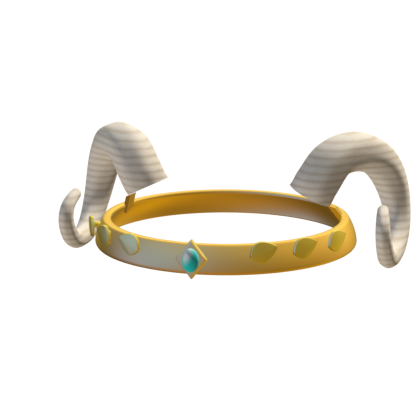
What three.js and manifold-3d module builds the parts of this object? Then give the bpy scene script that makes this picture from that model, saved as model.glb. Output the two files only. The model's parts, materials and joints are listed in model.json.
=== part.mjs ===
// Ram horns headband: a closed gold band with a lozenge setting and six shield studs on its front,
// and a curled ram's horn on a plain bracket at each side.
// Millimetres, +Z up, the wearer's face towards -Y and the wearer's left towards +X.
// The pieces are laid out round the band's own axis with Z = 0 at the shoulders of its lip. The whole
// is then tipped and moved so that it lies on Z = 0 as it would by itself.
import * as THREE from 'three';
import { mergeVertices } from 'three/addons/utils/BufferGeometryUtils.js';
import Module from 'manifold-3d';

// Between two pieces that touch
const seatGap = 0.3;

// Band
const bandInnerDiameter = 175.6;
const lipWidth = 6.4;
const lipRise = 1.2;
const wallHeight = 19.5;
const wallFlare = 5.9;
const wallBulge = 1.1;
const wallHollow = 2.0;
const footThickness = 4.3;
const footRound = 1.8;
const bandSegments = 96;
const lipSteps = 6;
const wallSteps = 6;
const footSteps = 3;

// Setting and stone
const settingWidth = 23.6;
const settingHeight = 29.8;
const settingThickness = 3.4;
const settingBevel = 1.3;
const settingStandoff = 1.8;
const settingDrop = 7.4;
const settingBossWidth = 9;
const settingBossHeight = 9;
const stoneWidth = 12.3;
const stoneHeight = 17.2;
const stoneDome = 4.2;
const stoneGirdle = 1.0;
const stoneSeatDepth = 0.9;
const stoneDrop = 0.2;
const stoneSides = 24;
const stoneRings = 5;

// Studs, from the front of the band round to its side
const studAngles = [28.6, 46.7, 64.8];
const studWidth = 20.4;
const studHeight = 16.2;
const studThickness = 2.8;
const studBevel = 0.6;
const studStandoff = 2.1;
const studDrop = 2.6;
const studStemDiameter = 4.6;
const studStemBack = 3.8;
const stemSides = 16;
const curveSteps = 5;

// Horns: each centre line winds round a level axis across the head
const hornBaseGirth = 35.6;
const hornCurlRadius = 40;
const hornSpread = 61;
const hornAxisBack = 22;
const hornAxisRise = 9;
const hornRootInset = 24;
const hornCutLean = 26;
const hornCutTurn = 10;
const hornBaseTwist = -8;
const hornBaseFlat = 0.06;
const hornBaseRows = 5;
const hornRidges = 6;
const hornRidgeDepth = 0.1;
const hornSides = 12;
const hornStepsPerRow = 4;
const hornTipSteps = 3;

// A row for each section of a horn. turn is in degrees round the axis from the front, up and over;
// reach is a share of the curl's radius, out of the spread, girth of the base's girth.
// The first row lies below the cut, inside the head, and only steers the path. The base is twisted and
// a little flat in the curl's plane, less and less over its first rows.
const hornRows = [
  { turn: 0, reach: 0.41, out: -0.1, girth: 1 },
  { turn: 32, reach: 0.46, out: 0, girth: 1 },
  { turn: 57, reach: 0.69, out: 0.12, girth: 1 },
  { turn: 76, reach: 0.93, out: 0.26, girth: 0.97 },
  { turn: 97, reach: 1.02, out: 0.47, girth: 0.91 },
  { turn: 123, reach: 1.02, out: 0.7, girth: 0.85 },
  { turn: 162, reach: 1, out: 0.89, girth: 0.76 },
  { turn: 210, reach: 1, out: 1, girth: 0.59 },
  { turn: 266, reach: 0.94, out: 1, girth: 0.46 },
  { turn: 310, reach: 1.02, out: 0.99, girth: 0.39 },
  { turn: 346, reach: 1.02, out: 0.97, girth: 0.33 },
  { turn: 366, reach: 0.6, out: 0.93, girth: 0.25 },
];

// Brackets. The foot's angle is round the band from its side to the back; hold is a share of the
// base's radius, from its middle outwards.
const bracketAngle = 17;
const bracketWidth = 9;
const bracketThickness = 3.6;
const bracketDrop = 5;
const bracketHold = 0.7;

// Sizes that follow
const bandInnerRadius = bandInnerDiameter / 2;
const lipMidRadius = bandInnerRadius + lipWidth / 2;
const lipOuterRadius = bandInnerRadius + lipWidth;
const bandOuterRadius = lipOuterRadius + wallFlare;
const bandFoot = -wallHeight;

const radians = THREE.MathUtils.degToRad;
const lerp = THREE.MathUtils.lerp;

const wasm = await Module();
wasm.setup();

// Joining and cutting

function toSolid(geometry) {
  const bare = geometry.clone();
  bare.deleteAttribute('normal');
  bare.deleteAttribute('uv');
  const merged = mergeVertices(bare, 1e-4);
  return new wasm.Manifold(new wasm.Mesh({
    numProp: 3,
    vertProperties: Float32Array.from(merged.attributes.position.array),
    triVerts: Uint32Array.from(merged.index.array),
  }));
}

function toGeometry(solid) {
  const mesh = solid.getMesh();
  const geometry = new THREE.BufferGeometry();
  geometry.setAttribute('position', new THREE.BufferAttribute(Float32Array.from(mesh.vertProperties), 3));
  geometry.setIndex(new THREE.BufferAttribute(Uint32Array.from(mesh.triVerts), 1));
  geometry.computeVertexNormals();
  return geometry;
}

// A closed skin over a stack of rings with the same number of points, flat at both ends
function loftRings(rings) {
  const sides = rings[0].length;
  const points = rings.flat();
  const first = points.length;
  const last = first + 1;
  points.push(middleOf(rings[0]), middleOf(rings[rings.length - 1]));
  const faces = [];
  for (let ring = 0; ring + 1 < rings.length; ring++) {
    for (let side = 0; side < sides; side++) {
      const next = (side + 1) % sides;
      const a = ring * sides + side;
      const b = ring * sides + next;
      faces.push(a, b, b + sides, a, b + sides, a + sides);
    }
  }
  const top = (rings.length - 1) * sides;
  for (let side = 0; side < sides; side++) {
    const next = (side + 1) % sides;
    faces.push(first, next, side, last, top + side, top + next);
  }
  const geometry = new THREE.BufferGeometry().setFromPoints(points);
  geometry.setIndex(faces);
  geometry.computeVertexNormals();
  return geometry;
}

function middleOf(points) {
  const sum = points.reduce((total, point) => total.add(point), new THREE.Vector3());
  return sum.divideScalar(points.length);
}

// Band

function wallRadius(share, upper, lower, bulge) {
  return lerp(upper, lower, share) + 4 * bulge * share * (1 - share);
}

// Half of the band's section, from the lip's inner shoulder over its crest, down the outer wall,
// across the flat foot and up the inner wall. Every point moves out of the metal by spare.
function bandSection(spare) {
  const section = [];
  const footInnerRadius = bandOuterRadius - footThickness;
  for (let step = 0; step <= lipSteps; step++) {
    const turn = Math.PI * (1 - step / lipSteps);
    const radius = lipMidRadius + (lipWidth / 2 + spare) * Math.cos(turn);
    section.push(new THREE.Vector2(radius, (lipRise + spare) * Math.sin(turn)));
  }
  const roundStart = bandFoot + footRound;
  for (let step = 1; step <= wallSteps; step++) {
    const share = step / wallSteps;
    const radius = wallRadius(share, lipOuterRadius, bandOuterRadius, wallBulge);
    section.push(new THREE.Vector2(radius + spare, roundStart * share));
  }
  for (let step = 1; step <= footSteps; step++) {
    const turn = (Math.PI / 2) * (step / footSteps);
    const radius = bandOuterRadius - footRound + (footRound + spare) * Math.cos(turn);
    section.push(new THREE.Vector2(radius, roundStart - (footRound + spare) * Math.sin(turn)));
  }
  section.push(new THREE.Vector2(footInnerRadius - spare, bandFoot - spare));
  for (let step = wallSteps - 1; step > 0; step--) {
    const share = step / wallSteps;
    const radius = wallRadius(share, bandInnerRadius, footInnerRadius, wallHollow);
    section.push(new THREE.Vector2(radius - spare, bandFoot * share));
  }
  section.push(section[0].clone());
  return section;
}

// A lathe turns about Y, so it is stood up on Z. Its profile runs from the top down the outside.
function bandRing(spare) {
  const profile = bandSection(spare).reverse();
  return new THREE.LatheGeometry(profile, bandSegments).rotateX(Math.PI / 2);
}

const bandClearance = toSolid(bandRing(seatGap));

// Plates that stand on edge in front of the band

// Takes a flat shape (across, up) to a plate whose front face stands at the given distance from the
// band's axis, with a chamfer round that face. Its front looks along -Y.
function bevelledPlate(outline, centre, halfWidth, thickness, bevel, front) {
  const inset = 1 - bevel / halfWidth;
  const layer = (distance, scale) => outline.map((point) => new THREE.Vector3(
    lerp(centre.x, point.x, scale),
    -distance,
    lerp(centre.y, point.y, scale),
  ));
  return loftRings([layer(front - thickness, 1), layer(front - bevel, 1), layer(front, inset)]);
}

// A stem or boss from inside the band's wall to just inside the plate, cut to seat on the wall
function seatedOnBand(stem) {
  return toSolid(stem).subtract(bandClearance);
}

function outerPieceOf(solid) {
  const pieces = solid.decompose();
  return pieces.reduce((best, piece) => (
    piece.boundingBox().min[1] < best.boundingBox().min[1] ? piece : best));
}

// Setting: a lozenge plate with a seat for the stone and a boss behind it

const settingFront = bandOuterRadius + settingStandoff + settingThickness;
const stoneCentre = -settingDrop - stoneDrop;

function settingOutline() {
  const middle = -settingDrop;
  return [
    new THREE.Vector2(0, middle - settingHeight / 2),
    new THREE.Vector2(settingWidth / 2, middle),
    new THREE.Vector2(0, middle + settingHeight / 2),
    new THREE.Vector2(-settingWidth / 2, middle),
  ];
}

function ovalRing(halfWidth, halfHeight, distance) {
  const ring = [];
  for (let side = 0; side < stoneSides; side++) {
    const turn = (2 * Math.PI * side) / stoneSides;
    ring.push(new THREE.Vector3(
      halfWidth * Math.cos(turn),
      -distance,
      stoneCentre + halfHeight * Math.sin(turn),
    ));
  }
  return ring;
}

function makeSetting() {
  const centre = new THREE.Vector2(0, -settingDrop);
  const plate = bevelledPlate(settingOutline(), centre, settingWidth / 2, settingThickness,
    settingBevel, settingFront);
  const seatFloor = settingFront - stoneSeatDepth;
  const seatHalfWidth = stoneWidth / 2 + seatGap;
  const seatHalfHeight = stoneHeight / 2 + seatGap;
  const seat = loftRings([
    ovalRing(seatHalfWidth, seatHalfHeight, seatFloor),
    ovalRing(seatHalfWidth, seatHalfHeight, settingFront + stoneDome),
  ]);
  const bossDepth = settingFront - settingThickness / 2 - lipMidRadius;
  const boss = new THREE.BoxGeometry(settingBossWidth, bossDepth, settingBossHeight)
    .translate(0, -(lipMidRadius + bossDepth / 2), -settingDrop);
  const seated = outerPieceOf(seatedOnBand(boss));
  return toGeometry(toSolid(plate).subtract(toSolid(seat)).add(seated));
}

// Stone: a smooth oval dome on a short upright girdle
function makeStone() {
  const back = settingFront - stoneSeatDepth + seatGap;
  const girdleTop = back + stoneGirdle;
  const rings = [ovalRing(stoneWidth / 2, stoneHeight / 2, back)];
  for (let ring = 0; ring < stoneRings; ring++) {
    const turn = (Math.PI / 2) * (ring / stoneRings);
    const spread = Math.cos(turn);
    const distance = girdleTop + stoneDome * Math.sin(turn);
    rings.push(ovalRing((stoneWidth / 2) * spread, (stoneHeight / 2) * spread, distance));
  }
  const geometry = loftRings(rings);
  const crown = geometry.attributes.position.count - 1;
  geometry.attributes.position.setY(crown, -(girdleTop + stoneDome));
  return geometry;
}

// Studs: shield plates, pointed at the foot and at the upper outer corner

const studFront = bandOuterRadius + studStandoff + studThickness;

// Corners and the curves between them, as shares of the stud's width and height from its centre.
// across grows towards the back of the band, up grows upwards.
const studCorners = [
  { across: -0.5, up: -0.18, bendAcross: -0.5, bendUp: 0.42 },
  { across: -0.16, up: 0.5, bendAcross: 0.12, bendUp: 0.52 },
  { across: 0.5, up: 0.25, bendAcross: 0.3, bendUp: -0.36 },
  { across: -0.06, up: -0.5, bendAcross: -0.3, bendUp: -0.42 },
];

function studOutline() {
  const at = (across, up) => new THREE.Vector2(across * studWidth, up * studHeight - studDrop);
  const outline = [];
  studCorners.forEach((corner, index) => {
    const next = studCorners[(index + 1) % studCorners.length];
    const curve = new THREE.QuadraticBezierCurve(
      at(corner.across, corner.up),
      at(corner.bendAcross, corner.bendUp),
      at(next.across, next.up),
    );
    outline.push(...curve.getPoints(curveSteps).slice(0, -1));
  });
  return outline.reverse();
}

// Built facing -Y, then turned round the band's axis. side is 1 on the left of the head, -1 right.
function makeStud(angle, side) {
  const centre = new THREE.Vector2(0, -studDrop);
  const plate = bevelledPlate(studOutline(), centre, studWidth / 2, studThickness, studBevel, studFront);
  const stemLength = studFront - studThickness / 2 - lipMidRadius;
  const stem = new THREE.CylinderGeometry(studStemDiameter / 2, studStemDiameter / 2, stemLength, stemSides)
    .translate(studStemBack, -(lipMidRadius + stemLength / 2), -studDrop);
  const solid = toSolid(plate).add(outerPieceOf(seatedOnBand(stem)));
  const turned = solid.rotate([0, 0, angle]);
  return toGeometry(side > 0 ? turned : turned.mirror([1, 0, 0]));
}

// Horns

const hornRootOut = bandInnerRadius - hornRootInset;
const hornAxis = new THREE.Vector3(0, hornAxisBack, hornAxisRise);
const hornLastRow = hornRows.length - 1;

// A smooth run through one column of the table, past its end in a straight line
function columnAt(column, place) {
  const index = Math.min(Math.floor(place), hornLastRow - 1);
  const t = place - index;
  const here = hornRows[index][column];
  const next = hornRows[index + 1][column];
  const before = index > 0 ? hornRows[index - 1][column] : 2 * here - next;
  const after = index + 2 <= hornLastRow ? hornRows[index + 2][column] : 2 * next - here;
  return 0.5 * (2 * here + (next - before) * t
    + (2 * before - 5 * here + 4 * next - after) * t * t
    + (3 * here - before - 3 * next + after) * t * t * t);
}

function hornCentre(place) {
  const turn = radians(columnAt('turn', place));
  const reach = hornCurlRadius * columnAt('reach', place);
  return new THREE.Vector3(
    hornRootOut + hornSpread * columnAt('out', place),
    hornAxis.y - reach * Math.cos(turn),
    hornAxis.z + reach * Math.sin(turn),
  );
}

// The way the horn runs at a place, and the two ways across it
function hornWays(place) {
  const nudge = 0.02;
  const ahead = hornCentre(Math.min(place + nudge, hornLastRow));
  const along = ahead.sub(hornCentre(place - nudge)).normalize();
  const outward = hornCentre(place).sub(hornAxis).setX(0);
  outward.addScaledVector(along, -outward.dot(along)).normalize();
  return { along, outward, across: new THREE.Vector3().crossVectors(along, outward) };
}

// One section: a round with soft ridges, the first on the outer side of the curl
function hornRing(centre, ways, radius, place) {
  const base = Math.max(1 - (place - 1) / hornBaseRows, 0);
  const ring = [];
  for (let side = 0; side < hornSides; side++) {
    const turn = (2 * Math.PI * side) / hornSides;
    const twisted = turn + radians(hornBaseTwist) * base;
    const ridge = 1 - (hornRidgeDepth * (1 - Math.cos(hornRidges * turn))) / 2;
    ring.push(centre.clone()
      .addScaledVector(ways.outward, radius * ridge * (1 - hornBaseFlat * base) * Math.cos(twisted))
      .addScaledVector(ways.across, radius * ridge * Math.sin(twisted)));
  }
  return ring;
}

// The plane that the horn's base is cut on, leaning in over the head and a little to the back
const hornRoot = hornCentre(1);
const hornCutNormal = new THREE.Vector3(-Math.sin(radians(hornCutLean)), 0, -Math.cos(radians(hornCutLean)))
  .applyAxisAngle(new THREE.Vector3(0, 0, 1), radians(hornCutTurn));

function slideToCut(point, along) {
  const short = hornRoot.clone().sub(point).dot(hornCutNormal) / along.dot(hornCutNormal);
  return point.addScaledVector(along, short);
}

function makeHorn() {
  const rings = [];
  const steps = (hornLastRow - 1) * hornStepsPerRow;
  for (let step = 0; step <= steps; step++) {
    const place = 1 + step / hornStepsPerRow;
    const ways = hornWays(place);
    const radius = (hornBaseGirth / 2) * columnAt('girth', place);
    const ring = hornRing(hornCentre(place), ways, radius, place);
    rings.push(step === 0 ? ring.map((point) => slideToCut(point, ways.along)) : ring);
  }
  const tip = hornCentre(hornLastRow);
  const ways = hornWays(hornLastRow);
  const tipRadius = (hornBaseGirth / 2) * columnAt('girth', hornLastRow);
  for (let step = 1; step <= hornTipSteps; step++) {
    const turn = (Math.PI / 2) * (step / (hornTipSteps + 1));
    const centre = tip.clone().addScaledVector(ways.along, tipRadius * Math.sin(turn));
    rings.push(hornRing(centre, ways, tipRadius * Math.cos(turn), hornLastRow));
  }
  const geometry = loftRings(rings);
  const point = tip.clone().addScaledVector(ways.along, tipRadius);
  geometry.attributes.position.setXYZ(geometry.attributes.position.count - 1, point.x, point.y, point.z);
  return geometry;
}

// Brackets

// A bar from inside the band's wall, under its lip, up and in to the horn's cut base. It passes below
// the plane of that base all the way, and is cut to seat on both.
function makeBracket() {
  const angle = radians(bracketAngle);
  const foot = new THREE.Vector3(lipMidRadius * Math.cos(angle), lipMidRadius * Math.sin(angle), -bracketDrop);
  const hold = (hornBaseGirth / 2) * bracketHold;
  const outer = new THREE.Vector3(1, 0, 0).projectOnPlane(hornCutNormal).normalize();
  const head = hornRoot.clone().addScaledVector(outer, hold).addScaledVector(hornCutNormal, -bracketThickness);
  const run = head.clone().sub(foot);
  const bar = new THREE.BoxGeometry(bracketThickness, bracketWidth, run.length());
  const up = new THREE.Vector3(0, 0, 1);
  const lean = new THREE.Quaternion().setFromUnitVectors(up, run.clone().normalize());
  bar.rotateZ(angle).applyQuaternion(lean);
  bar.translate(...foot.clone().add(head).divideScalar(2).toArray());
  const block = 2 * hornBaseGirth;
  const hornSide = new THREE.BoxGeometry(block, block, block).translate(0, 0, seatGap - block / 2);
  hornSide.applyQuaternion(new THREE.Quaternion().setFromUnitVectors(up, hornCutNormal));
  hornSide.translate(...hornRoot.toArray());
  return toSolid(bar).subtract(bandClearance).subtract(toSolid(hornSide));
}

// Materials

const polishedGold = { color: 0xd9a441, roughness: 0.3, metalness: 1 };
const oliveGold = { color: 0xa98f35, roughness: 0.35, metalness: 1 };
const turquoise = { color: 0x1f9c93, roughness: 0.15, metalness: 0 };
const ivoryHorn = { color: 0xdcd3c4, roughness: 0.6, metalness: 0 };

const headband = new THREE.Group();

function addPiece(name, geometry, look) {
  const mesh = new THREE.Mesh(geometry, new THREE.MeshStandardMaterial(look));
  mesh.name = name;
  headband.add(mesh);
}

function mirrored(geometry) {
  return toGeometry(toSolid(geometry).mirror([1, 0, 0]));
}

addPiece('band', bandRing(0), polishedGold);
addPiece('setting', makeSetting(), polishedGold);
addPiece('stone', makeStone(), turquoise);
studAngles.forEach((angle, index) => {
  addPiece(`stud_left_${index + 1}`, makeStud(angle, 1), oliveGold);
  addPiece(`stud_right_${index + 1}`, makeStud(angle, -1), oliveGold);
});
const horn = makeHorn();
addPiece('horn_left', horn, ivoryHorn);
addPiece('horn_right', mirrored(horn), ivoryHorn);
const bracket = toGeometry(makeBracket());
addPiece('horn_bracket_left', bracket, polishedGold);
addPiece('horn_bracket_right', mirrored(bracket), polishedGold);

// Resting

// The centre of all solids together, each of even density
function centreOfMass(group) {
  const total = new THREE.Vector3();
  let volume = 0;
  group.children.forEach((mesh) => {
    const solid = mesh.geometry.index ? mesh.geometry.toNonIndexed() : mesh.geometry;
    const position = solid.attributes.position;
    for (let corner = 0; corner < position.count; corner += 3) {
      const [a, b, c] = [0, 1, 2].map((step) => (
        new THREE.Vector3().fromBufferAttribute(position, corner + step)));
      const share = a.dot(b.clone().cross(c)) / 6;
      volume += share;
      total.addScaledVector(a.add(b).add(c), share / 4);
    }
  });
  return total.divideScalar(volume);
}

// Seen from the side, the underside of the part is a chain of straight spans between the points
// that a flat surface can touch. Each point is (back, up).
function undersideOf(group) {
  const points = [];
  group.children.forEach((mesh) => {
    const position = mesh.geometry.attributes.position;
    for (let corner = 0; corner < position.count; corner++) {
      points.push(new THREE.Vector2(position.getY(corner), position.getZ(corner)));
    }
  });
  points.sort((a, b) => a.x - b.x || a.y - b.y);
  const chain = [];
  points.forEach((point) => {
    while (chain.length > 1) {
      const last = chain[chain.length - 1];
      const before = chain[chain.length - 2];
      const turn = last.clone().sub(before).cross(point.clone().sub(before));
      if (turn > 0) break;
      chain.pop();
    }
    chain.push(point);
  });
  return chain;
}

// Of the spans that its centre of mass stands over, the part rests on the one that holds it lowest
function restingTilt(group) {
  const centre = centreOfMass(group);
  const weight = new THREE.Vector2(centre.y, centre.z);
  const chain = undersideOf(group);
  let lowest = Infinity;
  let tilt = 0;
  chain.slice(1).forEach((end, index) => {
    const span = end.clone().sub(chain[index]);
    const toWeight = weight.clone().sub(chain[index]);
    const along = toWeight.dot(span) / span.lengthSq();
    const height = span.cross(toWeight) / span.length();
    if (along >= 0 && along <= 1 && height < lowest) {
      lowest = height;
      tilt = -Math.atan2(span.y, span.x);
    }
  });
  return tilt;
}

headband.rotation.x = restingTilt(headband);
headband.updateMatrixWorld(true);
const reach = new THREE.Box3().setFromObject(headband, true);
const middle = reach.getCenter(new THREE.Vector3());
headband.position.set(-middle.x, -middle.y, -reach.min.z);

const part = new THREE.Group();
part.add(headband);

export default part;
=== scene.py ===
import json
import math

import bmesh
import bpy
from mathutils import Matrix, Vector

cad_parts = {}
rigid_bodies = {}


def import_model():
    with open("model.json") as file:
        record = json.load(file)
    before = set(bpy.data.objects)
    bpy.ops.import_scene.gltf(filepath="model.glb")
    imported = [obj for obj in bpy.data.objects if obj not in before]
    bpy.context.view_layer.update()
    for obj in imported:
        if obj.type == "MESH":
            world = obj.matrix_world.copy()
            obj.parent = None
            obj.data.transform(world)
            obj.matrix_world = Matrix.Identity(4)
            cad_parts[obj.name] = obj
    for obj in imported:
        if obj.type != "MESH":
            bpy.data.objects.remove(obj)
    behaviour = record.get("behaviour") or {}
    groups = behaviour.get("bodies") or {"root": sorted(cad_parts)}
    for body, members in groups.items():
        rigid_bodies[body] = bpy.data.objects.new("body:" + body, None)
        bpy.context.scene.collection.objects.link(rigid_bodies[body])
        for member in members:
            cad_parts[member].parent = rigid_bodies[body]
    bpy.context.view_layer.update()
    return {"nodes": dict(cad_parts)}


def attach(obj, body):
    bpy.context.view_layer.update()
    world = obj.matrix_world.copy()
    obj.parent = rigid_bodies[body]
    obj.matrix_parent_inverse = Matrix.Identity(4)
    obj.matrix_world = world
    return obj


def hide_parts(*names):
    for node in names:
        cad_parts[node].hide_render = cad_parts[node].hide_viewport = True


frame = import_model()
scene = bpy.context.scene

# Camera
# A long lens looks down a little on the front of the headband, from a little to the wearer's left.
# It is rolled by a quarter of a degree.
camera_place = (0.25428, -1.05459, 0.27261)
camera_azimuth = math.radians(14.141)
camera_elevation = math.radians(12.004)
camera_roll = math.radians(0.273)
camera_lens = 124.74

camera = bpy.data.objects.new("camera", bpy.data.cameras.new("camera"))
camera.data.lens = camera_lens
camera.data.sensor_width = 36
camera.data.clip_start = 0.01
camera.matrix_world = (
    Matrix.Translation(camera_place)
    @ Matrix.Rotation(camera_azimuth, 4, "Z")
    @ Matrix.Rotation(math.pi / 2 - camera_elevation, 4, "X")
    @ Matrix.Rotation(camera_roll, 4, "Z")
)
scene.collection.objects.link(camera)
scene.camera = camera
scene.view_settings.view_transform = "Standard"


# Floor and light
# A matt white table in a soft studio. A warm key lamp stands high behind on the right, a cool one high
# on the left and a low fill in front. Polished metal mirrors a few cool, warm and pale panels.
class Wire:
    """A socket of a node tree. Arithmetic on wires adds Math nodes to the tree."""

    def __init__(self, tree, socket):
        self.tree = tree
        self.socket = socket

    def maths(self, operation, *others):
        return self.tree.maths(operation, self, *others)

    def also(self, output):
        return Wire(self.tree, self.socket.node.outputs[output])

    def __add__(self, other):
        return self.maths("ADD", other)

    def __sub__(self, other):
        return self.maths("SUBTRACT", other)

    def __rsub__(self, other):
        return self.tree.maths("SUBTRACT", other, self)

    def __mul__(self, other):
        return self.maths("MULTIPLY", other)

    def __truediv__(self, other):
        return self.maths("DIVIDE", other)

    def __pow__(self, other):
        return self.maths("POWER", other)

    __radd__ = __add__
    __rmul__ = __mul__


class Tree:
    """A node tree that is filled one node at a time."""

    def __init__(self, nodes_of):
        self.tree = nodes_of
        self.tree.nodes.clear()

    def node(self, kind, settings=None, values=None, output=0):
        node = self.tree.nodes.new(kind)
        for name, value in (settings or {}).items():
            setattr(node, name, value)
        for name, value in (values or {}).items():
            if isinstance(value, Wire):
                self.tree.links.new(value.socket, node.inputs[name])
            else:
                node.inputs[name].default_value = value
        return Wire(self, node.outputs[output]) if node.outputs else node

    def maths(self, operation, *values):
        return self.node("ShaderNodeMath", {"operation": operation}, dict(enumerate(values)))

    def vectors(self, operation, *values, output=0):
        return self.node("ShaderNodeVectorMath", {"operation": operation}, dict(enumerate(values)), output)

    def mix(self, factor, first, second):
        return self.node("ShaderNodeMix", {"data_type": "RGBA"}, {0: factor, 6: first, 7: second}, 2)

    def step(self, value, low, high):
        limits = {"Value": value, "From Min": low, "From Max": high}
        return self.node("ShaderNodeMapRange", {"interpolation_type": "SMOOTHSTEP"}, limits)


floor_size = 6.0
floor_mesh = bpy.data.meshes.new("floor")
half = floor_size / 2
floor_corners = [(-half, -half, 0), (half, -half, 0), (half, half, 0), (-half, half, 0)]
floor_mesh.from_pydata(floor_corners, [], [(0, 1, 2, 3)])
floor = bpy.data.objects.new("floor", floor_mesh)
scene.collection.objects.link(floor)
floor_paint = bpy.data.materials.new("white_table")
floor_paint.use_nodes = True
floor_tree = Tree(floor_paint.node_tree)
floor_shader = floor_tree.node("ShaderNodeBsdfDiffuse", {}, {"Color": (0.95, 0.95, 0.95, 1)})
floor_tree.node("ShaderNodeOutputMaterial", {}, {"Surface": floor_shader})
floor_mesh.materials.append(floor_paint)

# Each lamp is its bearing from the front toward +X and its height in degrees, its strength and colour
lamps = {
    "key_lamp": (125, 55, 3.6, (1.0, 0.95, 0.88)),
    "cool_lamp": (-60, 45, 0.7, (0.6, 0.75, 1.0)),
    "low_fill": (-40, -50, 1.6, (1.0, 0.95, 0.88)),
}
lamp_softness = math.radians(20)
for name, (bearing, height, strength, colour) in lamps.items():
    lamp = bpy.data.lights.new(name, "SUN")
    lamp.energy = strength
    lamp.color = colour
    lamp.angle = lamp_softness
    hung_lamp = bpy.data.objects.new(name, lamp)
    hung_lamp.rotation_euler = (math.radians(90 - height), 0, math.radians(bearing))
    hung_lamp.visible_glossy = False
    scene.collection.objects.link(hung_lamp)

# What polished metal mirrors: each panel is its bearing and height in degrees, how narrow its glow
# is, and its colour
panels = {
    "ceiling": (0, 90, 2, (0.45, 0.4, 0.2)),
    "warm_table": (0, -60, 3, (0.35, 0.2, 0.02)),
    "warm_table_right": (140, -45, 12, (0.4, 0.25, 0.0)),
    "cool_window": (-45, 12, 6, (0.04, 0.2, 0.75)),
    "cool_left_window": (-75, -10, 20, (0.1, 0.12, 0.4)),
    "warm_wall": (110, 30, 5, (0.35, 0.22, 0.03)),
    "pale_back_right": (155, 20, 12, (0.6, 0.5, 0.3)),
    "pale_back_left": (-160, 25, 15, (0.7, 0.65, 0.45)),
}
tent = bpy.data.worlds.new("studio_tent")
tent.use_nodes = True
tent.cycles.sampling_method = "NONE"
scene.world = tent
air = Tree(tent.node_tree)
looking = air.node("ShaderNodeTexCoord", output="Generated")
mirrored_light = (0.02, 0.02, 0.01)
for bearing, height, narrowness, colour in panels.values():
    level = math.cos(math.radians(height))
    towards = (level * math.sin(math.radians(bearing)), -level * math.cos(math.radians(bearing)),
               math.sin(math.radians(height)))
    nearness = 0.5 + 0.5 * air.vectors("DOT_PRODUCT", looking, towards, output="Value")
    glow = air.node("ShaderNodeVectorMath", {"operation": "SCALE"}, {
        0: colour, "Scale": nearness ** narrowness})
    mirrored_light = air.vectors("ADD", glow, mirrored_light)
look_z = air.node("ShaderNodeSeparateXYZ", {}, {0: looking}, "Z")
light_from_below, light_from_above = (0.07, 0.05, 0.04, 1), (0.12, 0.118, 0.115, 1)
soft_light = air.mix(0.5 + 0.5 * look_z, light_from_below, light_from_above)
path = air.node("ShaderNodeLightPath")
camera_ray, glossy_ray = path.also("Is Camera Ray"), path.also("Is Glossy Ray")
cast = air.mix(glossy_ray, soft_light, mirrored_light)
seen = air.mix(camera_ray, cast, (1, 1, 1, 1))
air.node("ShaderNodeOutputWorld", {}, {"Surface": air.node("ShaderNodeBackground", {}, {"Color": seen})})


# Band
# One closed ring of cast resin with polished gold plating. A rounded lip tops a wall that flares
# out to a flat foot, and the inside of the wall is a little hollow.
mm = 0.001
rest_tilt = math.radians(1.0888)
rest_place = Matrix.Translation((0, 4.6587 * mm, 36.1815 * mm)) @ Matrix.Rotation(rest_tilt, 4, "X")
band_inner_radius = 87.8 * mm
lip_width = 6.4 * mm
lip_rise = 1.2 * mm
lip_skirt = 1.2 * mm
wall_height = 19.5 * mm
wall_flare = 5.9 * mm
wall_bulge = 1.1 * mm
wall_hollow = 2.0 * mm
foot_thickness = 4.3 * mm
foot_round = 1.8 * mm
foot_rise = 3.0 * mm
band_segments = 288
lip_middle = band_inner_radius + lip_width / 2
lip_outer = band_inner_radius + lip_width
band_outer = lip_outer + wall_flare
foot_inner = band_outer - foot_thickness


def bowed(share, upper, lower, bow):
    return upper + (lower - upper) * share + 4 * bow * share * (1 - share)


def quadratic(t, start, bend, end):
    return (1 - t) ** 2 * start + 2 * t * (1 - t) * bend + t * t * end


def band_section():
    points = []
    skirt_steps, lip_steps, wall_steps, foot_steps = 4, 8, 20, 8
    wall_lean = (wall_flare + 4 * wall_bulge) / (wall_height - foot_rise)
    lip_bends = [
        ((band_inner_radius, 0), (band_inner_radius, lip_rise), (lip_middle, lip_rise)),
        ((lip_middle, lip_rise), (lip_outer - lip_rise * wall_lean, lip_rise), (lip_outer, 0)),
    ]
    for step in range(skirt_steps):
        points.append((band_inner_radius, -lip_skirt * (1 - step / skirt_steps)))
    for start, bend, end in lip_bends:
        for step in range(lip_steps):
            t = step / lip_steps
            points.append(tuple(quadratic(t, a, b, c) for a, b, c in zip(start, bend, end)))
    round_start = foot_rise - wall_height
    for step in range(wall_steps + 1):
        share = step / wall_steps
        points.append((bowed(share, lip_outer, band_outer, wall_bulge), round_start * share))
    for step in range(1, foot_steps + 1):
        turn = math.pi / 2 * step / foot_steps
        inward, down = foot_round * (1 - math.cos(turn)), foot_rise * math.sin(turn)
        points.append((band_outer - inward, round_start - down))
    points.append((foot_inner, -wall_height))
    for step in range(wall_steps - 1, 0, -1):
        share = step / wall_steps
        height = -lip_skirt - (wall_height - lip_skirt) * share
        points.append((bowed(share, band_inner_radius, foot_inner, wall_hollow), height))
    return points


def geometry_tree(name, sizes):
    """A Geometry Nodes tree whose inputs are a geometry, the named sizes and a material."""
    group = bpy.data.node_groups.new(name, "GeometryNodeTree")
    group.interface.new_socket("Geometry", in_out="INPUT", socket_type="NodeSocketGeometry")
    for size, kind in sizes.items():
        group.interface.new_socket(size, in_out="INPUT", socket_type=kind)
    group.interface.new_socket("Material", in_out="INPUT", socket_type="NodeSocketMaterial")
    group.interface.new_socket("Geometry", in_out="OUTPUT", socket_type="NodeSocketGeometry")
    tree = Tree(group)
    return tree, tree.node("NodeGroupInput")


def close_tree(tree, given, shape):
    whole = tree.node("GeometryNodeRealizeInstances", {}, {"Geometry": shape})
    painted = tree.node("GeometryNodeSetMaterial", {}, {
        "Geometry": whole, "Material": given.also("Material")})
    tree.node("NodeGroupOutput", {}, {"Geometry": painted})


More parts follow.
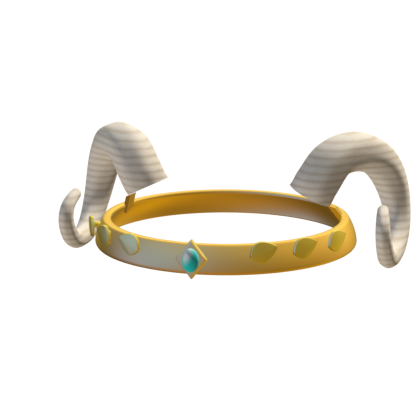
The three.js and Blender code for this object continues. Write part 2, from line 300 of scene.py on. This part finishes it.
def grown(name, seed_mesh, tree, material, sizes):
    """The plain mesh object that the tree makes of the seed mesh with these sizes."""
    seed = bpy.data.objects.new(name + "_seed", seed_mesh)
    scene.collection.objects.link(seed)
    modifier = seed.modifiers.new("shape", "NODES")
    modifier.node_group = tree.tree
    sockets = tree.tree.interface.items_tree
    inputs = {item.name: item.identifier for item in sockets if item.in_out == "INPUT"}
    for size, value in {**sizes, "Material": material}.items():
        modifier[inputs[size]] = value
    bpy.context.view_layer.update()
    shaped = seed.evaluated_get(bpy.context.evaluated_depsgraph_get())
    mesh = bpy.data.meshes.new_from_object(shaped)
    mesh.name = name
    seed.modifiers.remove(modifier)
    bpy.data.objects.remove(seed)
    piece = bpy.data.objects.new(name, mesh)
    scene.collection.objects.link(piece)
    return piece


worn_gold = (1.0, 0.80, 0.42, 1)


def gold_paint(name, colour, shade, edge_tint, roughness, wear):
    """Polished plating with fine polishing lines and faint clouds, worn paler along the rims."""
    paint = bpy.data.materials.new(name)
    paint.use_nodes = True
    tree = Tree(paint.node_tree)
    place = tree.node("ShaderNodeTexCoord", output="Object")
    tone_and_reflection_cloud = tree.node("ShaderNodeTexNoise", {}, {
        "Vector": place, "Scale": 38.0, "Detail": 4.0, "Roughness": 0.55})
    flat_place = tree.vectors("MULTIPLY", place, (1.0, 1.0, 14.0))
    lines = tree.node("ShaderNodeTexNoise", {}, {"Vector": flat_place, "Scale": 260.0, "Detail": 3.0})
    specks = tree.node("ShaderNodeTexNoise", {}, {"Vector": place, "Scale": 900.0, "Detail": 3.0})
    rim = tree.node("ShaderNodeAttribute", {"attribute_name": "rim"}, output="Fac")
    worn = rim * tree.step(specks, 0.42, 0.62)
    tone = tree.mix(tree.step(tone_and_reflection_cloud, 0.35, 0.75), (*colour, 1), (*shade, 1))
    tone = tree.mix(worn * wear, tone, worn_gold)
    polish = roughness + 0.05 * (tone_and_reflection_cloud - 0.5) + 0.04 * (lines - 0.5) + 0.06 * worn
    relief = tree.node("ShaderNodeBump", {}, {"Strength": 0.04, "Distance": 0.0002, "Height": lines})
    shader = tree.node("ShaderNodeBsdfPrincipled", {}, {
        "Base Color": tone, "Metallic": 1.0, "Roughness": polish, "Normal": relief,
        "Specular Tint": (*edge_tint, 1)})
    tree.node("ShaderNodeOutputMaterial", {}, {"Surface": shader})
    return paint


band_tree, band_given = geometry_tree("band_ring", {"Radius": "NodeSocketFloat", "Segments": "NodeSocketInt"})
section = band_tree.node("GeometryNodeMeshToCurve", {}, {"Mesh": band_given})
circle = band_tree.node("GeometryNodeCurvePrimitiveCircle", {}, {
    "Resolution": band_given.also("Segments"), "Radius": band_given.also("Radius")})
ring = band_tree.node("GeometryNodeCurveToMesh", {}, {"Curve": circle, "Profile Curve": section})
smooth_ring = band_tree.node("GeometryNodeSetShadeSmooth", {}, {"Geometry": ring})
close_tree(band_tree, band_given, smooth_ring)

band_points = band_section()
band_seed = bpy.data.meshes.new("band_section")
band_seed.from_pydata([(radius - lip_middle, -height, 0) for radius, height in band_points],
                      [(i, (i + 1) % len(band_points)) for i in range(len(band_points))], [])
band_seed.attributes.new("rim", "FLOAT", "POINT").data.foreach_set("value", [
    max(1 - abs(height - lip_rise) / lip_rise, 1 - abs(height + wall_height) / foot_rise, 0)
    for radius, height in band_points])
polished_gold = gold_paint(
    "polished_gold", (1.0, 0.73, 0.28), (0.99, 0.71, 0.26), (1.0, 0.85, 0.45), 0.14, 0.35)
band = grown("band_ring", band_seed, band_tree, polished_gold, {
    "Radius": lip_middle, "Segments": band_segments})
band.data.transform(rest_place)
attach(band, "root")
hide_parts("band")


# Setting
# A lozenge plate with a bevelled edge, plated pale gold, in front of the band. A square boss behind
# it holds it on the wall.
setting_width = 23.6 * mm
setting_height = 29.8 * mm
setting_thickness = 3.4 * mm
setting_bevel = 1.6 * mm
setting_standoff = 1.8 * mm
setting_drop = 7.4 * mm
setting_dome = 0.4 * mm
setting_front = band_outer + setting_standoff + setting_thickness
boss_width, boss_height, boss_in_wall = 9 * mm, 9 * mm, 3 * mm
boss_back = band_outer - boss_in_wall
edge_shares = (0.03, 0.25, 0.5, 0.75, 0.97)


def plate(name, outline, middle, front, thickness, bevel, dome):
    """A plate on edge, front face to -Y: rounded sides that lean in by the bevel, and a faint dome."""
    reach = max((Vector(point) - Vector(middle)).length for point in outline)
    layers = []
    edge_steps, edge_roundness = 6, 2.2
    dome_shares = (0.95, 0.8, 0.6, 0.4, 0.2)
    for step in range(edge_steps + 1):
        share = step / edge_steps
        narrowed = 1 - bevel / reach * share ** edge_roundness
        layers.append((front - thickness + (thickness - dome) * share, narrowed))
    inner = layers[-1][1]
    for share in dome_shares:
        layers.append((front - dome * share ** 2, inner * share))
    mesh = bmesh.new()
    rim = mesh.verts.layers.float.new("rim")
    rings = []
    for distance, scale in layers:
        rings.append([mesh.verts.new((
            middle[0] + (x - middle[0]) * scale, -distance, middle[1] + (z - middle[1]) * scale,
        )) for x, z in outline])
    for edge_ring in rings[edge_steps // 2:edge_steps + 1]:
        for corner in edge_ring:
            corner[rim] = 1.0
    count = len(outline)
    for lower, upper in zip(rings, rings[1:]):
        for i in range(count):
            j = (i + 1) % count
            mesh.faces.new((lower[i], lower[j], upper[j], upper[i]))
    mesh.faces.new(rings[0])
    tip = mesh.verts.new((middle[0], -front, middle[1]))
    for i in range(count):
        mesh.faces.new((rings[-1][i], rings[-1][(i + 1) % count], tip))
    bmesh.ops.recalc_face_normals(mesh, faces=mesh.faces)
    for face in mesh.faces:
        face.smooth = True
    made = bpy.data.meshes.new(name)
    mesh.to_mesh(made)
    mesh.free()
    return made


lozenge = []
corners = [(0, -setting_height / 2), (setting_width / 2, 0), (0, setting_height / 2), (-setting_width / 2, 0)]
for (x, z), (next_x, next_z) in zip(corners, corners[1:] + corners[:1]):
    for share in edge_shares:
        lozenge.append((x + (next_x - x) * share, z + (next_z - z) * share - setting_drop))
setting_mesh = plate("setting_plate", lozenge, (0, -setting_drop), setting_front, setting_thickness,
                     setting_bevel, setting_dome)
setting_shape = bmesh.new()
setting_shape.from_mesh(setting_mesh)
boss_depth = setting_front - setting_thickness / 2 - boss_back
boss_place = Matrix.Translation((0, -boss_back - boss_depth / 2, -setting_drop))
boss_scale = Matrix.Diagonal((boss_width, boss_depth, boss_height, 1))
bmesh.ops.create_cube(setting_shape, size=1.0, matrix=boss_place @ boss_scale)
setting_shape.to_mesh(setting_mesh)
setting_shape.free()
setting_mesh.transform(rest_place)
setting = bpy.data.objects.new("setting_plate", setting_mesh)
scene.collection.objects.link(setting)
pale_gold = gold_paint("pale_gold", (1.0, 0.895, 0.46), (0.98, 0.875, 0.44), (1.0, 0.94, 0.6), 0.13, 0.4)
setting_mesh.materials.append(pale_gold)
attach(setting, "root")
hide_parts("setting")


# Stone
# A smooth oval turquoise cabochon, glued into a shallow seat in the setting. A painted reflection makes
# a pale grey patch in its upper left part with a faint dark line beside it, and a painted highlight
# makes the upper right edge paler.
stone_width, stone_height = 12.3 * mm, 17.2 * mm
stone_dome = 4.2 * mm
stone_girdle = 1.0 * mm
stone_seat = 0.6 * mm
stone_drop = 0.2 * mm
back_ring = 0.94
weld_gap = 0.001 * mm
stone_back = setting_front - stone_seat
stone_middle = -setting_drop - stone_drop
stone_sides, dome_steps = 64, 14

stone_layers = [
    (stone_back, 0.0), (stone_back, back_ring), (stone_back, 1.0), (stone_back + stone_girdle, 1.0)]
for step in range(1, dome_steps + 1):
    turn = math.pi / 2 * step / dome_steps
    stone_layers.append((stone_back + stone_girdle + stone_dome * math.sin(turn), math.cos(turn)))
stone_shape = bmesh.new()
stone_rings = []
for distance, spread in stone_layers:
    stone_rings.append([stone_shape.verts.new((
        stone_width / 2 * spread * math.cos(2 * math.pi * side / stone_sides),
        -distance,
        stone_middle + stone_height / 2 * spread * math.sin(2 * math.pi * side / stone_sides),
    )) for side in range(stone_sides)])
for lower, upper in zip(stone_rings, stone_rings[1:]):
    for i in range(stone_sides):
        j = (i + 1) % stone_sides
        stone_shape.faces.new((lower[i], lower[j], upper[j], upper[i]))
bmesh.ops.remove_doubles(stone_shape, verts=stone_shape.verts, dist=weld_gap)
bmesh.ops.recalc_face_normals(stone_shape, faces=stone_shape.faces)
for face in stone_shape.faces:
    face.smooth = True
stone_mesh = bpy.data.meshes.new("cabochon")
stone_shape.to_mesh(stone_mesh)
stone_shape.free()
stone_mesh.transform(rest_place)
stone = bpy.data.objects.new("cabochon", stone_mesh)
scene.collection.objects.link(stone)

turquoise = bpy.data.materials.new("turquoise")
turquoise.use_nodes = True
gem = Tree(turquoise.node_tree)
gem_place = gem.node("ShaderNodeTexCoord", output="Object")
gem_middle = rest_place @ Vector((0, 0, stone_middle))
gem_local = gem.vectors("SUBTRACT", gem_place, tuple(gem_middle))
gem_warp = gem.node("ShaderNodeTexNoise", {}, {"Vector": gem_place, "Scale": 160.0, "Detail": 2.0}, "Color")
gem_wobble = 1.6 * mm
gem_warp = gem.vectors("MULTIPLY_ADD", gem_warp, (gem_wobble,) * 3, (-gem_wobble / 2,) * 3)
gem_local = gem.vectors("ADD", gem_local, gem_warp)
gem_x = gem.node("ShaderNodeSeparateXYZ", {}, {0: gem_local}) / (stone_width / 2)
gem_z = gem.node("ShaderNodeSeparateXYZ", {}, {0: gem_local}, "Z") / (stone_height / 2)


def leaning(degrees, right, up):
    """How far a place lies along a line that leans from upright to the right."""
    turn = math.radians(degrees)
    return right * math.sin(turn) + up * math.cos(turn)


# The painted reflection's patch and dark line, and the painted highlight, lie in shares of the stone's
# half width and half height
painted_reflection_right, painted_reflection_up = gem_x + 0.3, gem_z - 0.3
painted_reflection_across = leaning(-45, painted_reflection_right, painted_reflection_up).maths("ABSOLUTE") / 0.45
painted_reflection_along = leaning(45, painted_reflection_right, painted_reflection_up).maths("ABSOLUTE") / 0.65
tone_and_reflection_cloud = (-1 * (painted_reflection_across ** 2.5 + painted_reflection_along ** 2.5)).maths("EXPONENT")
# A faint dark line of painted reflection, and a painted highlight along the upper right edge
painted_dark_reflection = (-1 * (((leaning(35, gem_x, gem_z) - 0.35) / 0.15) ** 2.0)).maths("EXPONENT")
painted_highlight = (-1 * (((1.0 - leaning(65, gem_x, gem_z)).maths("MAXIMUM", 0.0) / 0.15) ** 2.0)).maths("EXPONENT")
gem_grain = gem.node("ShaderNodeTexNoise", {}, {"Vector": gem_place, "Scale": 700.0, "Detail": 4.0})
stone_colour = gem.mix(gem.step(gem_grain, 0.3, 0.75), (0.0, 0.72, 0.66, 1), (0.0, 0.65, 0.6, 1))
# The painted reflection and the painted highlight are mixed into the stone's own turquoise
stone_colour = gem.mix(tone_and_reflection_cloud, stone_colour, (0.97, 0.97, 0.9, 1))
stone_colour = gem.mix(painted_dark_reflection * 0.35, stone_colour, (0, 0, 0, 1))
stone_colour = gem.mix(painted_highlight, stone_colour, (0.1, 0.85, 0.85, 1))
stone_shader = gem.node("ShaderNodeBsdfPrincipled", {}, {
    "Base Color": stone_colour, "Roughness": 0.18 + 0.08 * gem_grain, "IOR": 1.5, "Coat Weight": 0.2,
    "Coat Roughness": 0.04})
gem.node("ShaderNodeOutputMaterial", {}, {"Surface": stone_shader})
stone_mesh.materials.append(turquoise)
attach(stone, "root")
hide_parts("stone")


# Studs
# Six shield-shaped plates of olive gold, three on each side of the setting, each pointed at its
# foot and at its rear upper corner. A short round stem behind each holds it off the wall.
stud_width, stud_height = 20.4 * mm, 16.2 * mm
stud_thickness = 2.8 * mm
stud_bevel = 0.3 * mm
stud_dome = 0.8 * mm
stud_standoff = 2.1 * mm
stud_drop = 2.6 * mm
stem_radius = 2.3 * mm
stem_back = 3.8 * mm
stem_in_wall = 4 * mm
stem_foot = band_outer - stem_in_wall
stud_front = band_outer + stud_standoff + stud_thickness
first_stud_angle, stud_angle_step = math.radians(28.6), math.radians(18.1)
# Each row is a corner and the bend on the way to the next one, in shares of the width and height
stud_corners = [
    ((-0.5, -0.18), (-0.5, 0.42)),
    ((-0.16, 0.5), (0.12, 0.52)),
    ((0.5, 0.25), (0.3, -0.36)),
    ((-0.06, -0.5), (-0.3, -0.42)),
]
side_steps = 9

shield = []
for (start, bend), (end, _) in zip(stud_corners, stud_corners[1:] + stud_corners[:1]):
    for step in range(side_steps):
        t = step / side_steps
        across, up = (quadratic(t, a, b, c) for a, b, c in zip(start, bend, end))
        shield.append((across * stud_width, up * stud_height - stud_drop))
stud_seed = plate("stud", shield, (0, -stud_drop), stud_front, stud_thickness, stud_bevel, stud_dome)
stem = bmesh.new()
stem.from_mesh(stud_seed)
stem_length = stud_front - stud_thickness / 2 - stem_foot
stem_place = (Matrix.Translation((stem_back, -stem_foot - stem_length / 2, -stud_drop))
              @ Matrix.Rotation(math.pi / 2, 4, "X"))
bmesh.ops.create_cone(stem, cap_ends=True, segments=32, radius1=stem_radius, radius2=stem_radius,
                      depth=stem_length, matrix=stem_place)
for face in stem.faces:
    face.smooth = len(face.verts) <= 4
stem.to_mesh(stud_seed)
stem.free()

stud_tree, stud_given = geometry_tree("stud_rows", {
    "Count": "NodeSocketInt", "First Angle": "NodeSocketFloat", "Angle Step": "NodeSocketFloat"})
stud_points = stud_tree.node("GeometryNodePoints", {}, {"Count": stud_given.also("Count")})
stud_number = stud_tree.node("GeometryNodeInputIndex")
stud_turn = stud_given.also("First Angle") + stud_number * stud_given.also("Angle Step")
stud_turn = stud_tree.node("ShaderNodeCombineXYZ", {}, {"Z": stud_turn})
stud_row = stud_tree.node("GeometryNodeInstanceOnPoints", {}, {
    "Points": stud_points, "Instance": stud_given, "Rotation": stud_turn})
left_row = stud_tree.node("GeometryNodeRealizeInstances", {}, {"Geometry": stud_row})
right_row = stud_tree.node("GeometryNodeTransform", {}, {"Geometry": left_row, "Scale": (-1, 1, 1)})
right_row = stud_tree.node("GeometryNodeFlipFaces", {}, {"Mesh": right_row})
both_rows = stud_tree.node("GeometryNodeJoinGeometry", {}, {"Geometry": left_row})
stud_tree.tree.links.new(right_row.socket, both_rows.socket.node.inputs["Geometry"])
close_tree(stud_tree, stud_given, both_rows)

olive_gold = gold_paint("olive_gold", (1.0, 0.94, 0.33), (0.98, 0.91, 0.31), (1.0, 0.96, 0.5), 0.15, 0.9)
studs = grown("studs", stud_seed, stud_tree, olive_gold, {
    "Count": 3, "First Angle": first_stud_angle, "Angle Step": stud_angle_step})
studs.data.transform(rest_place)
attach(studs, "root")
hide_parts(*[f"stud_{side}_{place}" for side in ("left", "right") for place in (1, 2, 3)])


# Horns
# Two curled ram's horns of cast ivory resin, cut on a slant at the base. Each winds up over the
# ear, back, down and forwards to a thin hooked tip. Brown growth lines lie level across them.
horn_base_radius = 17.8 * mm
curl_radius = 40 * mm
horn_spread = 61 * mm
horn_root_inset = 24 * mm
horn_root_out = band_inner_radius - horn_root_inset
horn_axis_back, horn_axis_rise = 22 * mm, 9 * mm
horn_axis = Vector((0, horn_axis_back, horn_axis_rise))
horn_cut_lean, horn_cut_turn = math.radians(26), math.radians(10)
horn_base_twist, horn_base_flat, horn_base_rows = math.radians(-8), 0.06, 5
horn_sides, horn_ridges, horn_ridge_depth = 48, 6.0, 0.04
# The skin's ridges are shallower than the solids', so its radius is less, for the same mean thickness
horn_slimness = 0.97
# Each row is the turn round the axis in degrees, and shares of curl radius, spread and base radius
horn_rows = [
    (0, 0.41, -0.1, 1),
    (32, 0.46, 0, 1),
    (57, 0.69, 0.12, 1),
    (76, 0.93, 0.26, 0.97),
    (97, 1.02, 0.47, 0.91),
    (123, 1.02, 0.7, 0.85),
    (162, 1, 0.89, 0.76),
    (210, 1, 1, 0.59),
    (266, 0.94, 1, 0.46),
    (310, 1.02, 0.99, 0.39),
    (346, 1.02, 0.97, 0.33),
    (366, 0.6, 0.93, 0.25),
]
last_row = len(horn_rows) - 1


def horn_column(column, place):
    index = min(int(place), last_row - 1)
    t = place - index
    here, after = horn_rows[index][column], horn_rows[index + 1][column]
    before = horn_rows[index - 1][column] if index > 0 else 2 * here - after
    beyond = horn_rows[index + 2][column] if index + 2 <= last_row else 2 * after - here
    return 0.5 * (2 * here + (after - before) * t
                  + (2 * before - 5 * here + 4 * after - beyond) * t ** 2
                  + (3 * here - before - 3 * after + beyond) * t ** 3)


def horn_centre(place):
    turn = math.radians(horn_column(0, place))
    reach = curl_radius * horn_column(1, place)
    return Vector((horn_root_out + horn_spread * horn_column(2, place),
                   horn_axis.y - reach * math.cos(turn), horn_axis.z + reach * math.sin(turn)))


def horn_ways(place):
    nudge = 0.02
    along = (horn_centre(min(place + nudge, last_row)) - horn_centre(place - nudge)).normalized()
    outward = horn_centre(place) - horn_axis
    outward.x = 0
    outward = (outward - along * outward.dot(along)).normalized()
    return along, outward


steps_per_row, tip_steps, slant_rows = 9, 6, 1.5
closed_radius = 0.001 * mm
spine = []
for step in range((last_row - 1) * steps_per_row + 1):
    place = 1 + step / steps_per_row
    along, outward = horn_ways(place)
    slant = max(0.0, 1 - (place - 1) / slant_rows)
    base = max(0.0, 1 - (place - 1) / horn_base_rows)
    spine.append((horn_centre(place), along, outward, horn_base_radius * horn_column(3, place), slant, base))
tip, tip_along, tip_outward, tip_radius = spine[-1][:4]
for step in range(1, tip_steps + 1):
    turn = math.pi / 2 * step / tip_steps
    spine.append((tip + tip_along * tip_radius * math.sin(turn), tip_along, tip_outward,
                  max(tip_radius * math.cos(turn), closed_radius), 0.0, 0.0))
spine.insert(0, (*spine[0][:3], closed_radius, 1.0, 1.0))

horn_seed = bpy.data.meshes.new("horn_spine")
horn_seed.from_pydata([point[0] for point in spine], [], [])
for column, name in ((1, "along"), (2, "outward")):
    horn_seed.attributes.new(name, "FLOAT_VECTOR", "POINT").data.foreach_set(
        "vector", [value for point in spine for value in point[column]])
for column, name in ((3, "girth"), (4, "slant"), (5, "base")):
    values = [point[column] for point in spine]
    horn_seed.attributes.new(name, "FLOAT", "POINT").data.foreach_set("value", values)

horn_tree, horn_given = geometry_tree("horn_sweep", {
    "Sides": "NodeSocketInt", "Rings": "NodeSocketInt", "Ridges": "NodeSocketFloat",
    "Ridge Depth": "NodeSocketFloat", "Base Twist": "NodeSocketFloat", "Base Flat": "NodeSocketFloat",
    "Cut Point": "NodeSocketVector", "Cut Normal": "NodeSocketVector", "Side": "NodeSocketFloat"})
sheet = horn_tree.node("GeometryNodeMeshGrid", {}, {
    "Vertices X": horn_given.also("Sides") + 1, "Vertices Y": horn_given.also("Rings")})
sheet = horn_tree.node("GeometryNodeStoreNamedAttribute", {"data_type": "FLOAT2", "domain": "CORNER"}, {
    "Geometry": sheet, "Name": "UVMap", "Value": sheet.also("UV Map")})
spot = horn_tree.node("GeometryNodeInputPosition")
spot_x = horn_tree.node("ShaderNodeSeparateXYZ", {}, {0: spot})
spot_y = spot_x.also("Y")
ring_index = ((spot_y + 0.5) * (horn_given.also("Rings") - 1)).maths("ROUND")


def on_spine(name, kind):
    value = horn_tree.node("GeometryNodeInputPosition") if name == "position" else horn_tree.node(
        "GeometryNodeInputNamedAttribute", {"data_type": kind}, {"Name": name})
    sample = {"Geometry": horn_given, "Value": value, "Index": ring_index}
    return horn_tree.node("GeometryNodeSampleIndex", {"data_type": kind, "domain": "POINT"}, sample)


centre, along = on_spine("position", "FLOAT_VECTOR"), on_spine("along", "FLOAT_VECTOR")
outward = on_spine("outward", "FLOAT_VECTOR")
girth, slant, base = (on_spine(name, "FLOAT") for name in ("girth", "slant", "base"))
across = horn_tree.vectors("CROSS_PRODUCT", along, outward)
round_turn = (spot_x + 0.5) * (2 * math.pi)
ridge_wave = (round_turn * horn_given.also("Ridges")).maths("COSINE")
ridge = 1 - horn_given.also("Ridge Depth") * (1 - ridge_wave) / 2
radius = girth * ridge * horn_slimness
twisted = round_turn + horn_given.also("Base Twist") * base
flat_radius = radius * (1 - horn_given.also("Base Flat") * base)


def scaled(vector, factor):
    return horn_tree.node("ShaderNodeVectorMath", {"operation": "SCALE"}, {0: vector, "Scale": factor})


skin = horn_tree.vectors("ADD", centre, scaled(outward, flat_radius * twisted.maths("COSINE")))
skin = horn_tree.vectors("ADD", skin, scaled(across, radius * twisted.maths("SINE")))
to_cut = horn_tree.vectors("SUBTRACT", horn_given.also("Cut Point"), skin)
short = horn_tree.vectors("DOT_PRODUCT", to_cut, horn_given.also("Cut Normal"), output="Value")
short = short / horn_tree.vectors("DOT_PRODUCT", along, horn_given.also("Cut Normal"), output="Value")
skin = horn_tree.vectors("ADD", skin, scaled(along, short * slant))
mirror = horn_tree.node("ShaderNodeCombineXYZ", {}, {"X": horn_given.also("Side"), "Y": 1.0, "Z": 1.0})
skin = horn_tree.vectors("MULTIPLY", skin, mirror)
swept = horn_tree.node("GeometryNodeSetPosition", {}, {"Geometry": sheet, "Position": skin})
merge_gap = 0.01 * mm
swept = horn_tree.node("GeometryNodeMergeByDistance", {}, {"Geometry": swept, "Distance": merge_gap})
turned_skin = horn_tree.node("GeometryNodeFlipFaces", {}, {
    "Mesh": swept, "Selection": horn_given.also("Side").maths("LESS_THAN", 0.0)})
smooth_skin = horn_tree.node("GeometryNodeSetShadeSmooth", {}, {"Geometry": turned_skin})
close_tree(horn_tree, horn_given, smooth_skin)

ivory = bpy.data.materials.new("ivory_resin")
ivory.use_nodes = True
grain = Tree(ivory.node_tree)
grain_place = grain.node("ShaderNodeTexCoord", output="Object")
grain_x = grain.node("ShaderNodeSeparateXYZ", {}, {0: grain_place})
grain_z = grain_x.also("Z")
drift = grain.node("ShaderNodeTexNoise", {}, {"Vector": grain_place, "Scale": 26.0, "Detail": 2.0})
ripple = grain.node("ShaderNodeTexNoise", {}, {"Vector": grain_place, "Scale": 110.0, "Detail": 3.0})
line_gap = 5.56 * mm
line_height = 1.9 * mm
level = (grain_z - line_height) / line_gap + 0.6 * (drift - 0.5) + 0.2 * (ripple - 0.5)
wave = 0.5 + 0.5 * (level * (2 * math.pi)).maths("COSINE")
line = wave ** 2.0
strength = grain.node("ShaderNodeTexNoise", {}, {
    "Vector": grain.vectors("MULTIPLY", grain_place, (1.0, 1.0, 3.0)), "Scale": 45.0, "Detail": 2.0})
line = line * (0.45 + 0.8 * strength)
mottle = grain.node("ShaderNodeTexNoise", {}, {"Vector": grain_place, "Scale": 420.0, "Detail": 4.0})
resin = grain.mix(grain.step(mottle, 0.3, 0.75), (0.86, 0.80, 0.695, 1), (0.80, 0.735, 0.625, 1))
resin = grain.mix(line, resin, (0.655, 0.565, 0.45, 1))
fine = grain.node("ShaderNodeTexNoise", {}, {
    "Vector": grain.vectors("MULTIPLY", grain_place, (1.0, 1.0, 7.0)), "Scale": 190.0, "Detail": 4.0})
height_map = fine * 0.5 + line * -0.25
relief = grain.node("ShaderNodeBump", {}, {"Strength": 0.25, "Distance": 0.0003, "Height": height_map})
ivory_shader = grain.node("ShaderNodeBsdfPrincipled", {}, {
    "Base Color": resin, "Roughness": 0.5 + 0.12 * fine, "Normal": relief, "IOR": 1.5})
grain.node("ShaderNodeOutputMaterial", {}, {"Surface": ivory_shader})

cut_down = Vector((-math.sin(horn_cut_lean), 0, -math.cos(horn_cut_lean)))
cut_normal = Matrix.Rotation(horn_cut_turn, 3, "Z") @ cut_down
for side, name in ((1.0, "left"), (-1.0, "right")):
    horn = grown("horn_" + name + "_curl", horn_seed.copy(), horn_tree, ivory, {
        "Sides": horn_sides, "Rings": len(spine), "Ridges": horn_ridges, "Ridge Depth": horn_ridge_depth,
        "Base Twist": horn_base_twist, "Base Flat": horn_base_flat,
        "Cut Point": tuple(horn_centre(1)), "Cut Normal": tuple(cut_normal), "Side": side})
    horn.data.transform(rest_place)
    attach(horn, "root")
    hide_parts("horn_" + name)


# Horn brackets
# A plain flat bar under each horn, from inside the band's wall up to the cut base, with its edges
# broken. It is plated with the band.
bracket_edge = 0.35 * mm
for name in ("left", "right"):
    node = frame["nodes"]["horn_bracket_" + name]
    bar = bmesh.new()
    bar.from_mesh(node.data)
    bmesh.ops.remove_doubles(bar, verts=bar.verts, dist=weld_gap)
    bmesh.ops.dissolve_limit(bar, angle_limit=math.radians(4), verts=bar.verts, edges=bar.edges)
    bmesh.ops.bevel(bar, geom=list(bar.edges), offset=bracket_edge, segments=3, profile=0.5, affect="EDGES",
                    clamp_overlap=True)
    for face in bar.faces:
        face.smooth = False
    bar_mesh = bpy.data.meshes.new("bracket_" + name)
    bar.to_mesh(bar_mesh)
    bar.free()
    bar_mesh.materials.clear()
    bar_mesh.materials.append(polished_gold)
    bracket = bpy.data.objects.new("bracket_" + name, bar_mesh)
    scene.collection.objects.link(bracket)
    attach(bracket, "root")
    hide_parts("horn_bracket_" + name)

# The light is so even that no piece shades another or shows in its polish
for thing in scene.objects:
    if thing.type == "MESH":
        thing.visible_diffuse = thing.visible_glossy = thing.visible_shadow = False
